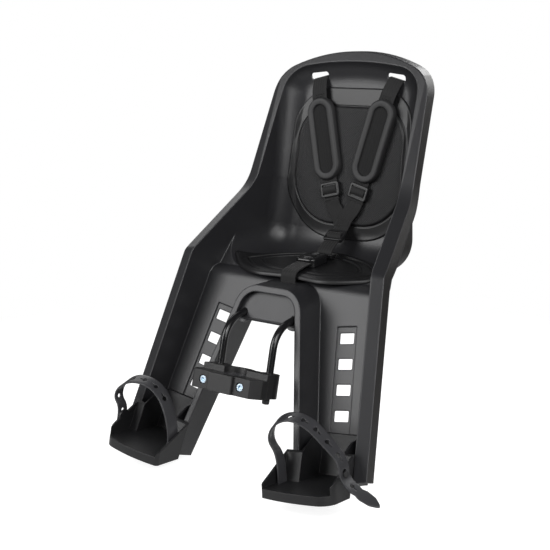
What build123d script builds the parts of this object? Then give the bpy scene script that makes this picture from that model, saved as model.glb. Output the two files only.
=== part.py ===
"""Front-mounted child bike seat: a moulded bucket shell on a steel fork that drops into a stem clamp."""
import os
from math import cos, radians, sin, tan

from build123d import *

# Stem clamp, in a frame whose axis is the handlebar stem
stem_dia = 34.0            # headset spacers or quill that the clamp grips
stem_lean = 13.6           # stem leans back from the vertical, degrees
bush_wall = 1.5            # rubber liner between stem and clamp
clamp_height = 24.0
clamp_half = 57.0          # half the width over the clamp
clamp_face = 27.0          # bolt face ahead of the stem axis
clamp_split = 1.0          # gap between the two clamp halves
nose_half = 20.5           # raised middle block on the front half
nose_depth = 4.0
bolt_x = 31.0
bolt_dia = 6.0
bolt_head_dia = 10.0
bolt_head_len = 6.0
bolt_sink = 7.0            # depth of the counterbore
nut_width = 10.0
nut_thick = 5.0
ring_wall = 9.0            # rear half round the stem
barrel_rad = 13.5          # round ends that take the fork
rear_top = 20.0            # the rear half and its barrels stand higher than the front half
fit_gap = 0.25             # running gap of the fork in its barrels
clear = 0.3                # gap between neighbouring pieces

# Steel fork
rod_dia = 10.0
prong_x = 41.5             # half the distance between the prongs
prong_back = 21.0          # prongs behind the stem axis
prong_below = 21.0         # prong end below the middle of the clamp
prong_bend = 38.0
tip_len = 6.0
socket_y = -19.6           # where the fork leaves the seat, from the seat datum
socket_z = -55.5
run_rise = 8.5             # fork climbs to the back under the seat, degrees
run_len = 150.0            # from the socket to the cross run
run_bend = 22.0

# Seat datum: middle of the seat front, seen from the stem
setback = 92.0
rise = 131.0

# Rim line of the shell in side view
elbow_y = 4.3
elbow_z = 19.3
elbow_round = 16.0
bend_y = 116.6             # where the rim turns up along the back
bend_z = 106.5
bend_round = 70.0
rim_lean = 22.7            # rim along the back, from the vertical
leg_lean = 20.6            # rim along the legs, from the vertical
flange_width = 17.5
crown_flange = 9.0         # the flange is narrower over the crown
flange_return = 20.0
rim_tilt = 13.0            # the flange slants back to its outer edge
tilt_x = 124.0             # and is flat between these half widths
wall = 3.6

# Bucket and legs
draft = 10.0               # side walls open towards the front
half_hip = 144.1           # half width inside the walls above the hips
hip_z = 115.0
half_shoulder = 147.0
half_foot = 173.7          # half width inside the walls at the leg ends
leg_end = 250.0            # leg ends below the datum
crown_z = 324.0
crown_drop = 34.0
crown_round = 75.0
back_y = 168.9             # back panel at the height of the datum
back_lean = 7.4
pan_front_y = 42.4
pan_front_z = -10.0
pan_rise = 5.0
panel_lean = 22.3
lap_round = 45.0           # seat into back
roll_round = 22.0          # seat front into the legs
bucket_round = 38.0
leg_end_rise = 18.0        # the leg ends climb to the outside
hip_round = 160.0          # side walls round the hips, seen from the front

# Arch between the legs
arch_lip = 8.5
lip_wall = 2.6             # the lip is folded double round a groove
hump_top = -15.5
hump_half = 44.3           # half width of the hump where its sides would meet the datum height
hump_splay = 14.8
hump_round = 34.0

# Holes in the shell
slot_x = 66.0
slot_z = 261.5
slot_width = 31.0
slot_height = 10.0
slot_tilt = 6.0
slot_round = 4.0
hole_width = 22.0
hole_height = 14.6
hole_round = 1.5
hole_pitch = 34.6
hole_count = 6
hole_first = 75.5          # first hole below the datum
strip_x = 107.0            # middle of the strip at the first hole
strip_splay = 10.0
strip_width = 30.0
strip_top = 16.0           # end of the strip above the first hole
strip_depth = 2.0

# Fork cover
cover_thick = 3.5
cover_sink = 8.0           # front plate behind the rim line of the legs
cover_half = 46.0
cover_tail = 9.0           # cover beyond the cross run
lobe_rad = 10.5
cover_drop = 5.5           # lower edge of the plate below the fork
boss_dia = 11.0
boss_x = 20.0
boss_near = run_len - 66   # screws behind the socket
boss_far = run_len - 20
screw_dia = 4.0
screw_head = 8.0
screw_len = 14.0
saddle_thick = 5.0
saddle_half = 50.0
saddle_near = run_len - 52  # saddles behind the socket
saddle_far = run_len - 34

# Pads
back_pad_edge = 5.0        # thin border of the back pad
back_pad_thick = 9.0
seat_pad_thick = 8.0
seat_pad_top = 18.0        # the pad stops this far above the datum

# Harness
web_width = 25.0
web_thick = 1.6
web_lift = 11.8            # straps ahead of the back panel
web_gap = 0.4
web_drop = 2.0             # a strap leaves its slot near the lower edge
strap_low_x = 24.6         # middle of a shoulder strap at its slider
strap_low_z = 96.0
pad_width = 46.0
pad_len = 124.0
pad_thick = 8.4
pad_start = 34.0           # pad top below the slot
window_width = 22.0
window_depth = 1.5
slider_width = 32.0
slider_len = 22.0
slider_thick = 6.0
yoke_low = 52.0            # the two straps are one from here down
anchor_width = 40.0
anchor_len = 18.0
anchor_thick = 3.0
buckle_y = 88.0            # middle of the buckle behind the datum
buckle_len = 40.0
buckle_width = 34.0
buckle_thick = 12.0
button_len = 14.0
button_width = 18.0
button_travel = 2.5
crotch_y = 30.0            # slot in the hump for the crotch strap

# Footrests
floor_z = -240.0           # tray floor at the strip, from the datum
tray_roll = 6.5
tray_pitch = 4.0
tray_front = 100.0         # front edge ahead of the panel
tray_in = 50.0
tray_out = 52.0
tray_wall = 3.0
tray_floor = 4.0
tray_skirt = 12.0
tray_gap = 5.0             # from the tray back to the rim of the leg
neck_in = 27.0
neck_gap = 5.6             # from the neck to the side wall
plate_thick = 3.5
key_low = 186.0            # key in the strip, below the first hole
key_high = 129.0
foot_web = 18.0
foot_web_thick = 2.5
peg_dia = 5.0
peg_y = 60.0               # peg ahead of the panel
peg_z = 22.0               # peg above the tray floor

front_reach = 150.0        # the outlines are drawn this far ahead of the datum

datum = Vector(0, setback, rise)
far = 420.0                # beyond everything, for cutting solids
side = Plane(origin=datum + Vector(-far, 0, 0), x_dir=(0, 1, 0), z_dir=(1, 0, 0))
face = Plane(origin=datum + Vector(0, -front_reach, 0), x_dir=(-1, 0, 0), z_dir=(0, 1, 0))
stem = Plane(origin=(0, 0, 0), x_dir=(1, 0, 0), z_dir=(0, sin(radians(stem_lean)), cos(radians(stem_lean))))
slope = tan(radians(draft))


def wall_half(y, z):
    """Half width inside the side walls at a depth behind the datum and a height."""
    if z < hip_z:
        span = half_foot + (half_hip - half_foot) * (z + leg_end) / (hip_z + leg_end)
    else:
        span = half_hip + (half_shoulder - half_hip) * (z - hip_z) / (crown_z - crown_drop - hip_z)
    return span - slope * y


def foot_y(low):
    """Rim line along the legs at a height below the datum."""
    return elbow_y - (low + elbow_z) * tan(radians(leg_lean))


def mitre(one, two):
    """Shift of a corner whose two lines, with these outward directions, move out by one."""
    return (one + two) / (1 + one.dot(two))


arm = Vector(bend_y - elbow_y, bend_z - elbow_z).normalized()
out_arm = Vector(-arm.Y, arm.X)
out_back = Vector(-cos(radians(rim_lean)), sin(radians(rim_lean)))
out_leg = Vector(-cos(radians(leg_lean)), sin(radians(leg_lean)))
elbow_lead = (wall_half(elbow_y, elbow_z) - tilt_x) * tan(radians(rim_tilt))
foot_lead = (wall_half(foot_y(leg_end), -leg_end) - tilt_x) * tan(radians(rim_tilt))


def rim_line(sink, lead):
    """Corners and roundings of the rim line in side view, moved back by sink and ahead by its leads."""
    grow = (far - leg_end) * (foot_lead - elbow_lead) / (leg_end + elbow_z)
    ahead = (elbow_lead, foot_lead + grow) if lead else (0, 0)
    top = Vector(bend_y + (far - bend_z) * tan(radians(rim_lean)), far) - out_back * sink
    turn = Vector(bend_y, bend_z) - mitre(out_back, out_arm) * sink
    elbow = Vector(elbow_y, elbow_z) + mitre(out_arm, out_leg) * (ahead[0] - sink)
    foot = Vector(foot_y(far), -far) + out_leg * (ahead[1] - sink)
    corners = [(v.X, v.Y) for v in (top, turn, elbow, foot)]
    return corners, [bend_round + sink, max(elbow_round + 1.3 * ahead[0] - sink, 1)]


def behind_line(plane, amount, taper, sink, lead):
    """Everything behind the rim line, from a plane across the seat over a distance."""
    corners, rounding = rim_line(sink, lead)
    with BuildPart() as solid:
        with BuildSketch(plane):
            with BuildLine():
                line = FilletPolyline(*corners, radius=rounding)
                Polyline(line @ 1, (far * 2, corners[3][1]), (far * 2, corners[0][1]), line @ 0)
            make_face()
        extrude(amount=amount, taper=taper)
    return solid.part


def behind_rim(sink=0.0):
    """Everything behind the rim line, moved back by sink."""
    return behind_line(side, 2 * far, 0, sink, False)


def behind_flange(sink=0.0):
    """Everything behind the rim, which slants back outside the walls."""
    with BuildPart() as solid:
        add(behind_line(side.offset(far + tilt_x), 90, rim_tilt, sink, True))
        mirror(about=Plane.YZ)
        add(behind_line(side.offset(far - tilt_x), 2 * tilt_x, 0, sink, False))
    return solid.part


crown_y = bend_y + (crown_z - bend_z) * tan(radians(rim_lean)) / (1 + slope * tan(radians(rim_lean)))


def rim_outline(inset=0.0):
    """Straight block inside the outer edge of the flange, or inset from it."""
    edge = flange_width - inset
    crest = crown_z - slope * crown_y + crown_flange - inset
    rim_foot = (2 * wall_half(foot_y(leg_end), -leg_end)
                - wall_half(foot_y(2 * leg_end - far), far - 2 * leg_end))
    corners = [(rim_foot + edge, -far), (wall_half(elbow_y, elbow_z) + edge, elbow_z),
               (wall_half(bend_y, bend_z) + edge, bend_z),
               (wall_half(crown_y, crown_z - crown_drop) + edge, crest - crown_drop)]
    with BuildPart() as solid:
        with BuildSketch(face.offset(-far)) as outline:
            with BuildLine():
                left = Polyline(*corners)
                crown = ThreePointArc(left @ 1, (0, crest), (-corners[3][0], corners[3][1]))
                Polyline(crown @ 1, *[(-x, z) for x, z in reversed(corners[:3])], left @ 0)
            make_face()
            fillet(outline.vertices().filter_by(lambda v: v.Y > bend_z + 50),
                   crown_round - slope * crown_y + crown_flange)
            fillet(outline.vertices().filter_by(lambda v: abs(v.Y - bend_z) < 1), hip_round)
            fillet(outline.vertices().filter_by(lambda v: abs(v.Y - elbow_z) < 1), hip_round)
        extrude(amount=3 * far)
    return solid.part


def walls(grow=0.0, crown_grow=None, spare=0.0):
    """Inside of the side walls and crown, drawn ahead of the rim and closing towards the back."""
    reach = front_reach + spare
    lead = reach * slope + grow
    crown_lead = reach * slope + (grow if crown_grow is None else crown_grow)
    with BuildPart() as solid:
        with BuildSketch(face.offset(-spare)) as outline:
            with BuildLine():
                low = far + spare
                foot = half_foot + lead + (low - leg_end) * (half_foot - half_hip) / (hip_z + leg_end)
                hip = (half_hip + lead, hip_z)
                top = (half_shoulder + lead, crown_z - crown_drop + crown_lead)
                left = Polyline((foot, -low), hip, top)
                crown = ThreePointArc(left @ 1, (0, crown_z + crown_lead), (-top[0], top[1]))
                Polyline(crown @ 1, (-hip[0], hip[1]), (-foot, -low), left @ 0)
            make_face()
            fillet(outline.vertices().filter_by(lambda v: v.Y > hip_z + 50), crown_round + crown_lead)
        extrude(amount=reach + back_y + 70 + spare, taper=draft)
    return solid.part


pan_slope = tan(radians(pan_rise))
back_slope = tan(radians(back_lean))
lap_z = (pan_front_z + pan_slope * (back_y - pan_front_y)) / (1 - pan_slope * back_slope)
lap_y = back_y + back_slope * lap_z


def bucket(grow=0.0):
    """Hollow of the bucket: everything above the seat and ahead of the back."""
    with BuildPart() as solid:
        add(walls(grow, spare=0 if grow else 10))
        with BuildSketch(side):
            with BuildLine():
                line = FilletPolyline((back_y + back_slope * far, far), (lap_y, lap_z),
                                      (-far, pan_front_z - pan_slope * (far + pan_front_y)), radius=lap_round)
                Polyline(line @ 1, (-far, far), line @ 0)
            make_face()
            if grow:
                offset(amount=grow, kind=Kind.INTERSECTION, mode=Mode.REPLACE)
        extrude(amount=2 * far, mode=Mode.INTERSECT)
        floor = solid.faces().filter_by(lambda f: f.normal_at().Z < 0.3 and abs(f.normal_at().X) < 0.01
                                        and f.normal_at().Y > -0.5)
        rims = [e for f in floor for e in f.edges()
                if (abs(e.center().X) > 1 or e.center().Z > rise + 200) and e.center().Y > 0]
        fillet(ShapeList(rims), bucket_round + grow)
    return solid.part


def legs(grow=0.0):
    """Hollow of the two legs and the roll at the seat front, with the hump still missing."""
    with BuildPart() as solid:
        add(walls(grow, spare=0 if grow else 10))
        with BuildSketch(side):
            with BuildLine():
                rear = pan_front_y + roll_round * 0.65
                foot = pan_front_y - (far + pan_front_z) * tan(radians(panel_lean))
                line = FilletPolyline((rear, pan_front_z + pan_slope * (rear - pan_front_y)),
                                      (pan_front_y, pan_front_z), (foot, -far), radius=roll_round)
                Polyline(line @ 1, (-far, -far), (-far, 60), (rear + 45, 60), line @ 0)
            make_face()
            if grow:
                offset(amount=grow, kind=Kind.INTERSECTION, mode=Mode.REPLACE)
        extrude(amount=2 * far, mode=Mode.INTERSECT)
    return solid.part


def arch(inset=0.0):
    """The round-topped opening between the legs, or the hump round it, inset from the hump's outline."""
    with BuildPart() as solid:
        with BuildSketch(face.offset(front_reach - far)) as region:
            with BuildLine():
                spread = tan(radians(hump_splay))
                top = hump_half - spread * hump_top
                foot = hump_half + spread * far
                Polyline((top, hump_top), (foot, -far), (-foot, -far), (-top, hump_top), close=True)
            make_face()
            fillet(region.vertices().filter_by(lambda v: v.Y > -far + 1), hump_round)
            if inset:
                offset(amount=-inset, kind=Kind.INTERSECTION, mode=Mode.REPLACE)
        extrude(amount=2 * far)
    return solid.part


panel_slope = tan(radians(panel_lean))
panel_up = Vector(0, sin(radians(panel_lean)), cos(radians(panel_lean)))
panel_out = Vector(0, -cos(radians(panel_lean)), sin(radians(panel_lean)))
strip_across = Vector(1, 0, 0) * cos(radians(strip_splay)) + panel_up * sin(radians(strip_splay))
strip_origin = datum + Vector(strip_x, pan_front_y - (hole_first + pan_front_z) * panel_slope, -hole_first)
strip = Plane(origin=strip_origin, x_dir=strip_across, z_dir=panel_out)


with BuildPart() as leg_cuts:
    with BuildSketch(strip.offset(-strip_depth)):
        with Locations((0, strip_top)):
            Rectangle(strip_width, far, align=(Align.CENTER, Align.MAX))
    extrude(amount=strip_depth + 30)
    with BuildSketch(strip.offset(-20)) as holes:
        for i in range(hole_count):
            with Locations((0, -i * hole_pitch)):
                RectangleRounded(hole_width, hole_height, hole_round)
    extrude(amount=40)


with BuildPart() as slot_cuts:
    back_point = datum + Vector(slot_x, back_y + back_slope * slot_z - 30, slot_z)
    with BuildSketch(Plane(origin=back_point, x_dir=(-1, 0, 0), z_dir=(0, 1, 0))):
        RectangleRounded(slot_width, slot_height, slot_round, rotation=slot_tilt)
    extrude(amount=60)


with BuildPart() as leg_hollows:
    add(legs())
    add(arch(), mode=Mode.SUBTRACT)


with BuildPart() as lip_groove:
    add(arch(lip_wall))
    add(arch(arch_lip - lip_wall), mode=Mode.SUBTRACT)
    add(behind_rim(lip_wall), mode=Mode.INTERSECT)


with BuildPart() as flange:
    add(rim_outline())
    add(behind_flange(), mode=Mode.INTERSECT)
    add(behind_flange(wall), mode=Mode.SUBTRACT)


with BuildPart() as rim_return:
    add(rim_outline())
    add(behind_flange(), mode=Mode.INTERSECT)
    add(behind_rim(flange_return), mode=Mode.SUBTRACT)
    add(rim_outline(wall), mode=Mode.SUBTRACT)


# Leg ends, cut square to the leg
ankle = Vector(hump_half + leg_end * tan(radians(hump_splay)), foot_y(leg_end), -leg_end)
leg_axis = Vector(-tan(radians(leg_end_rise)), tan(radians(leg_lean)), 1).normalized()
with BuildPart() as leg_ends:
    with BuildSketch(Plane(origin=datum + ankle, z_dir=leg_axis)):
        Rectangle(far, far)
    extrude(amount=-far / 2)


run = Vector(0, cos(radians(run_rise)), sin(radians(run_rise)))
run_down = Vector(0, run.Z, -run.Y)
socket = datum + Vector(0, socket_y, socket_z)
run_plane = Plane(origin=socket, x_dir=(1, 0, 0), z_dir=-run_down)


def under_pan(reach):
    """Height of the middle of the seat wall above the fork axis, at a distance behind the socket."""
    spot = socket + run * reach - datum
    return (pan_front_z + pan_slope * (spot.Y - pan_front_y) - wall / 2 - spot.Z) * cos(radians(run_rise))


# Saddles and screw bosses that hang under the seat
with BuildPart() as saddles:
    for reach in (saddle_near, saddle_far):
        with BuildSketch(Plane(origin=socket + run * (reach - saddle_thick / 2), x_dir=(1, 0, 0), z_dir=run)):
            Rectangle(2 * saddle_half, under_pan(reach), align=(Align.CENTER, Align.MAX))
            with Locations((-prong_x, 0), (prong_x, 0)):
                Circle(rod_dia / 2 + fit_gap / 2, mode=Mode.SUBTRACT)
        extrude(amount=saddle_thick)
    for reach in (boss_near, boss_far):
        with BuildSketch(run_plane.offset(-rod_dia / 2 - clear + fit_gap / 2)):
            with Locations((-boss_x, reach), (boss_x, reach)):
                Circle(boss_dia / 2)
        extrude(amount=rod_dia / 2 + clear + under_pan(reach))
        with BuildSketch(run_plane.offset(-rod_dia)):
            with Locations((-boss_x, reach), (boss_x, reach)):
                Circle(screw_dia / 2 + fit_gap / 5)
        extrude(amount=rod_dia / 2 + screw_len, mode=Mode.SUBTRACT)

with BuildPart() as crotch_slot:
    with BuildSketch(Plane(origin=datum + Vector(0, crotch_y, -far / 5))):
        RectangleRounded(web_width + 3, 4 * web_thick, web_thick)
    extrude(amount=far / 5)


with BuildPart() as seat_shell:
    add(bucket(wall))
    add(legs(wall))
    add(behind_flange(), mode=Mode.INTERSECT)
    add(flange.part)
    add(rim_return.part)
    add(bucket(), mode=Mode.SUBTRACT)
    add(leg_hollows.part, mode=Mode.SUBTRACT)
    add(arch(arch_lip), mode=Mode.SUBTRACT)
    add(lip_groove.part, mode=Mode.SUBTRACT)
    for cuts in (leg_cuts.part, slot_cuts.part, leg_ends.part):
        add(cuts, mode=Mode.SUBTRACT)
        add(mirror(cuts, about=Plane.YZ), mode=Mode.SUBTRACT)
    add(crotch_slot.part, mode=Mode.SUBTRACT)
    add(saddles.part)
seat_shell.part.label = "seat_shell"


# Stem clamp
bore_rad = stem_dia / 2 + bush_wall
face_plane = Plane(origin=stem.from_local_coords((0, -clamp_face, 0)), x_dir=(1, 0, 0), z_dir=-stem.y_dir)

with BuildPart() as clamp_front:
    with BuildSketch(stem.offset(-clamp_height / 2)) as outline:
        with BuildLine():
            Polyline((-clamp_half, -clamp_split / 2), (-clamp_half, -clamp_face * 0.45),
                     (-clamp_half + 9, -clamp_face), (clamp_half - 9, -clamp_face),
                     (clamp_half, -clamp_face * 0.45), (clamp_half, -clamp_split / 2), close=True)
        make_face()
        fillet(outline.vertices().filter_by(lambda v: v.Y < -clamp_split), 3)
        with Locations((0, -clamp_face)):
            RectangleRounded(2 * nose_half, 2 * nose_depth, 1.5)
        Circle(bore_rad, mode=Mode.SUBTRACT)
    extrude(amount=clamp_height)
    with Locations(face_plane):
        with Locations((-bolt_x, 0), (bolt_x, 0)):
            CounterBoreHole(bolt_dia / 2 + fit_gap, bolt_head_dia / 2 + 1, bolt_sink)
clamp_front.part.label = "clamp_front"

with BuildPart() as clamp_rear:
    with BuildSketch(stem.offset(-clamp_height / 2)):
        Circle(bore_rad + ring_wall)
        with Locations((0, clamp_split / 2)):
            Rectangle(2 * clamp_half - 6, prong_back, align=(Align.CENTER, Align.MIN))
        with Locations((-prong_x, prong_back), (prong_x, prong_back)):
            Circle(barrel_rad)
        Circle(bore_rad, mode=Mode.SUBTRACT)
        with Locations((0, clamp_split / 2)):
            Rectangle(4 * clamp_half, 4 * clamp_half, align=(Align.CENTER, Align.MAX), mode=Mode.SUBTRACT)
    extrude(amount=clamp_height / 2 + rear_top)
    with BuildSketch(stem.offset(-clamp_height)):
        with Locations((-prong_x, prong_back), (prong_x, prong_back)):
            Circle(rod_dia / 2 + fit_gap)
    extrude(amount=2 * clamp_height + rear_top, mode=Mode.SUBTRACT)
    with BuildSketch(face_plane):
        with Locations((-bolt_x, 0), (bolt_x, 0)):
            Circle(bolt_dia / 2 + fit_gap)
    extrude(amount=-(clamp_face + 17), mode=Mode.SUBTRACT)
    with BuildSketch(stem.offset(-clamp_height)):
        with Locations((-bolt_x, 10), (bolt_x, 10)):
            Rectangle(nut_width + web_gap, nut_thick + web_gap)
    extrude(amount=clamp_height + nut_width / 2 + web_gap / 2, mode=Mode.SUBTRACT)
clamp_rear.part.label = "clamp_rear"

with BuildPart() as clamp_liner:
    with BuildSketch(stem.offset(-clamp_height / 2)):
        Circle(bore_rad - 0.05)
        Circle(stem_dia / 2, mode=Mode.SUBTRACT)
        with Locations((bore_rad, 0)):
            Rectangle(8, clamp_split * 2, mode=Mode.SUBTRACT)
    extrude(amount=clamp_height)
clamp_liner.part.label = "clamp_liner"

head_plane = face_plane.offset(-bolt_sink)
with BuildPart() as clamp_bolts:
    with BuildSketch(head_plane):
        with Locations((-bolt_x, 0), (bolt_x, 0)):
            Circle(bolt_head_dia / 2)
    extrude(amount=bolt_head_len)
    with BuildSketch(head_plane.offset(bolt_head_len)):
        with Locations((-bolt_x, 0), (bolt_x, 0)):
            RegularPolygon(2.9, 6)
    extrude(amount=-3, mode=Mode.SUBTRACT)
    with BuildSketch(head_plane):
        with Locations((-bolt_x, 0), (bolt_x, 0)):
            Circle(bolt_dia / 2)
    extrude(amount=-(clamp_face - bolt_sink + 15))
clamp_bolts.part.label = "clamp_bolts"

with BuildPart() as clamp_nuts:
    with BuildSketch(Plane(origin=stem.from_local_coords((0, 10 - nut_thick / 2, 0)), x_dir=(1, 0, 0),
                           z_dir=stem.y_dir)):
        with Locations((-bolt_x, 0), (bolt_x, 0)):
            Rectangle(nut_width, nut_width)
            Circle(bolt_dia / 2, mode=Mode.SUBTRACT)
    extrude(amount=nut_thick)
clamp_nuts.part.label = "clamp_nuts"

# Fork: up the prongs, back under the seat and across
prong_foot = stem.from_local_coords((0, prong_back, 0))
lift = Vector(0, sin(radians(stem_lean)), cos(radians(stem_lean)))
gap = socket - prong_foot
cross_ = lift.Y * run.Z - lift.Z * run.Y
along = (gap.Y * run.Z - gap.Z * run.Y) / cross_
corner = prong_foot + lift * along
rear = socket + run * run_len
prong_end = prong_foot - lift * (prong_below - tip_len)
side_step = Vector(prong_x, 0, 0)
with BuildPart() as fork:
    with BuildLine() as fork_line:
        FilletPolyline(prong_end - side_step, corner - side_step, rear - side_step,
                       rear + side_step, corner + side_step, prong_end + side_step,
                       radius=[prong_bend, run_bend, run_bend, prong_bend])
    with BuildSketch(Plane(origin=prong_end - side_step, z_dir=lift)):
        Circle(rod_dia / 2)
    sweep()
fork.part.label = "fork"

with BuildPart() as fork_tips:
    with BuildSketch(Plane(origin=prong_end, x_dir=(1, 0, 0), z_dir=-lift)):
        with Locations((-prong_x, 0), (prong_x, 0)):
            Circle(rod_dia / 2)
    extrude(amount=tip_len)
    fillet(fork_tips.faces().sort_by(Axis(prong_end, -lift))[-2:].edges(), rod_dia / 5)
fork_tips.part.label = "fork_tips"

# Fork cover behind the arch and the saddles above the fork
leg_out = Vector(0, -cos(radians(leg_lean)), sin(radians(leg_lean)))
leg_point = datum + Vector(0, elbow_y - (elbow_z - socket_z) * tan(radians(leg_lean)), socket_z)
apron = Plane(origin=leg_point - leg_out * cover_sink, x_dir=(1, 0, 0), z_dir=leg_out)

with BuildPart() as fork_cover:
    with BuildSketch(apron):
        with Locations((0, -cover_drop)):
            Rectangle(2 * prong_x + 40, 60, align=(Align.CENTER, Align.MIN))
        with Locations((-prong_x, 0), (prong_x, 0)):
            Circle(lobe_rad)
    extrude(amount=-cover_thick)
    add(arch(arch_lip + clear), mode=Mode.INTERSECT)
    with BuildSketch(run_plane.offset(-rod_dia / 2 - clear)):
        Rectangle(2 * cover_half, run_len + cover_tail, align=(Align.CENTER, Align.MIN))
    extrude(amount=-cover_thick)
    with BuildSketch(Plane(origin=socket - run * 20, x_dir=(1, 0, 0), z_dir=run)):
        with Locations((-prong_x, 0), (prong_x, 0)):
            Circle(rod_dia / 2 + clear)
    extrude(amount=40, mode=Mode.SUBTRACT)
    with BuildSketch(run_plane.offset(-rod_dia / 2 - clear)):
        with GridLocations(2 * boss_x, boss_far - boss_near, 2, 2):
            with Locations((0, (boss_far + boss_near) / 2)):
                Circle(screw_dia / 2 + fit_gap)
    extrude(amount=-cover_thick, mode=Mode.SUBTRACT)
fork_cover.part.label = "fork_cover"


head_seat = run_plane.offset(-rod_dia / 2 - clear - cover_thick)
screw_spots = [(x, reach) for x in (-boss_x, boss_x) for reach in (boss_near, boss_far)]
with BuildPart() as cover_screws:
    with BuildSketch(head_seat):
        with Locations(*screw_spots):
            Circle(screw_head / 2)
    extrude(amount=-screw_dia * 0.6)
    with BuildSketch(head_seat.offset(-screw_dia * 0.6)):
        with Locations(*screw_spots):
            Rectangle(screw_head * 0.55, 1)
            Rectangle(1, screw_head * 0.55)
    extrude(amount=1.2, mode=Mode.SUBTRACT)
    with BuildSketch(head_seat):
        with Locations(*screw_spots):
            Circle(screw_dia / 2)
    extrude(amount=cover_thick + screw_len - 3)
cover_screws.part.label = "cover_screws"

# Pads: layers that follow the dish of the bucket, cut to outline
elevation = Plane(origin=datum, x_dir=(-1, 0, 0), z_dir=(0, 1, 0))
dish = bucket(-clear)


def outlined(points, rounding):
    """A prism through the back with a mirrored outline, drawn as seen from the front."""
    with BuildPart() as prism:
        with BuildSketch(elevation):
            with BuildLine():
                FilletPolyline(*points, *[(-x, z) for x, z in reversed(points)],
                               radius=rounding + rounding[::-1], close=True)
            make_face()
        extrude(amount=far)
    return prism.part


with BuildPart() as border:
    add(bucket(-back_pad_edge))
    add(outlined([(97, 47), (92, 217)], [68, 52]), mode=Mode.SUBTRACT)

with BuildPart() as back_pad:
    add(outlined([(110, 25), (99, 245)], [80, 60]))
    add(dish, mode=Mode.INTERSECT)
    add(bucket(-back_pad_thick), mode=Mode.SUBTRACT)
    add(border.part, mode=Mode.SUBTRACT)
back_pad.part.label = "back_pad"

with BuildPart() as seat_pad:
    with BuildSketch(Plane(origin=datum + Vector(0, 0, -60))) as outline:
        with BuildLine():
            front = ThreePointArc((-134, 76), (0, 35.5), (134, 76))
            ThreePointArc(front @ 1, (0, 154), front @ 0)
        make_face()
        fillet(outline.vertices(), 8)
    extrude(amount=60 + seat_pad_top)
    add(dish, mode=Mode.INTERSECT)
    add(bucket(-seat_pad_thick), mode=Mode.SUBTRACT)
seat_pad.part.label = "seat_pad"

# Harness, in the plane of the back panel
rest = Plane(origin=datum + Vector(0, back_y, 0), x_dir=(1, 0, 0),
             z_dir=(0, -cos(radians(back_lean)), sin(radians(back_lean))))
up_rest = 1 / cos(radians(back_lean))
strap_top = rest.from_local_coords((slot_x, slot_z * up_rest, 0))
strap_low = rest.from_local_coords((strap_low_x, strap_low_z * up_rest, 0))
strap_dir = (strap_low - strap_top).normalized()
strap_side = Plane(origin=strap_top, x_dir=strap_dir, z_dir=strap_dir.cross(rest.z_dir))
to_slider = (strap_low - strap_top).length
strap_len = to_slider + slider_len * 0.75


def ribbon(plane, points, rounding, thick, width):
    """A flat band that follows points in a plane, width across it."""
    with BuildPart() as band:
        with BuildSketch(plane.offset(-width / 2)):
            with BuildLine():
                FilletPolyline(*points, radius=rounding)
            trace(line_width=thick)
        extrude(amount=width)
    return band.part


def on_strap(reach, depth):
    """A plane that lies on the right shoulder strap, reach below its slot, its y axis up the strap."""
    return Plane(origin=strap_top + strap_dir * reach + rest.z_dir * depth,
                 x_dir=rest.z_dir.cross(strap_dir), z_dir=rest.z_dir)


anchor_back = wall + clear + anchor_thick
with BuildPart() as shoulder_strap_right:
    tail = -anchor_back - web_thick / 2 - clear
    add(ribbon(strap_side, [(anchor_len, tail), (web_drop, tail), (web_drop, 3), (26, web_lift),
                            (strap_len, web_lift)], web_thick, web_thick, web_width))
shoulder_strap_right.part.label = "shoulder_strap_right"

with BuildPart() as anchors:
    with BuildSketch(on_strap(web_drop + web_thick / 2 + web_gap + anchor_len / 2, -wall - clear)):
        RectangleRounded(anchor_width, anchor_len, anchor_thick)
    extrude(amount=-anchor_thick)
    mirror(about=Plane.YZ)
anchors.part.label = "harness_anchors"

with BuildPart() as shoulder_pad_right:
    with BuildSketch(on_strap(pad_start + pad_len / 2, web_lift - 2)):
        SlotOverall(pad_len, pad_width, rotation=90)
    extrude(amount=pad_thick)
    fillet(shoulder_pad_right.faces().sort_by(Axis(strap_top, rest.z_dir))[-1].edges(), 3)
    with BuildSketch(on_strap(pad_start + pad_len / 2, web_lift - 2 + pad_thick)):
        SlotOverall(pad_len - pad_width + window_width, window_width, rotation=90)
    extrude(amount=-window_depth, mode=Mode.SUBTRACT)
    with BuildSketch(on_strap(pad_start + pad_len / 2, web_lift - web_thick / 2 - web_gap)):
        Rectangle(web_width + 2 * web_gap, 2 * pad_len)
    extrude(amount=web_thick + 2 * web_gap, mode=Mode.SUBTRACT)
shoulder_pad_right.part.label = "shoulder_pad_right"


def slider_on(plane):
    """A ladder slider lying on a strap that runs along the plane's y axis at its origin."""
    with BuildPart() as buckle:
        with BuildSketch(plane.offset(-web_thick / 2 - web_gap - 1)):
            RectangleRounded(slider_width, slider_len, 4)
        extrude(amount=slider_thick)
        fillet(buckle.faces().sort_by(Axis(plane.origin, plane.z_dir))[-1].edges(), 1.5)
        with BuildSketch(plane.offset(-web_thick / 2 - web_gap)):
            Rectangle(web_width + 2 * web_gap, 2 * slider_len)
        extrude(amount=web_thick + 2 * web_gap, mode=Mode.SUBTRACT)
        with BuildSketch(plane.offset(web_thick)):
            with Locations((0, slider_len / 4), (0, -slider_len / 4)):
                RectangleRounded(web_width, slider_len / 5, 1.5)
        extrude(amount=slider_thick, mode=Mode.SUBTRACT)
    return buckle.part


with BuildPart() as slider_right:
    add(slider_on(on_strap(to_slider, web_lift)))
slider_right.part.label = "slider_right"

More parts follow.
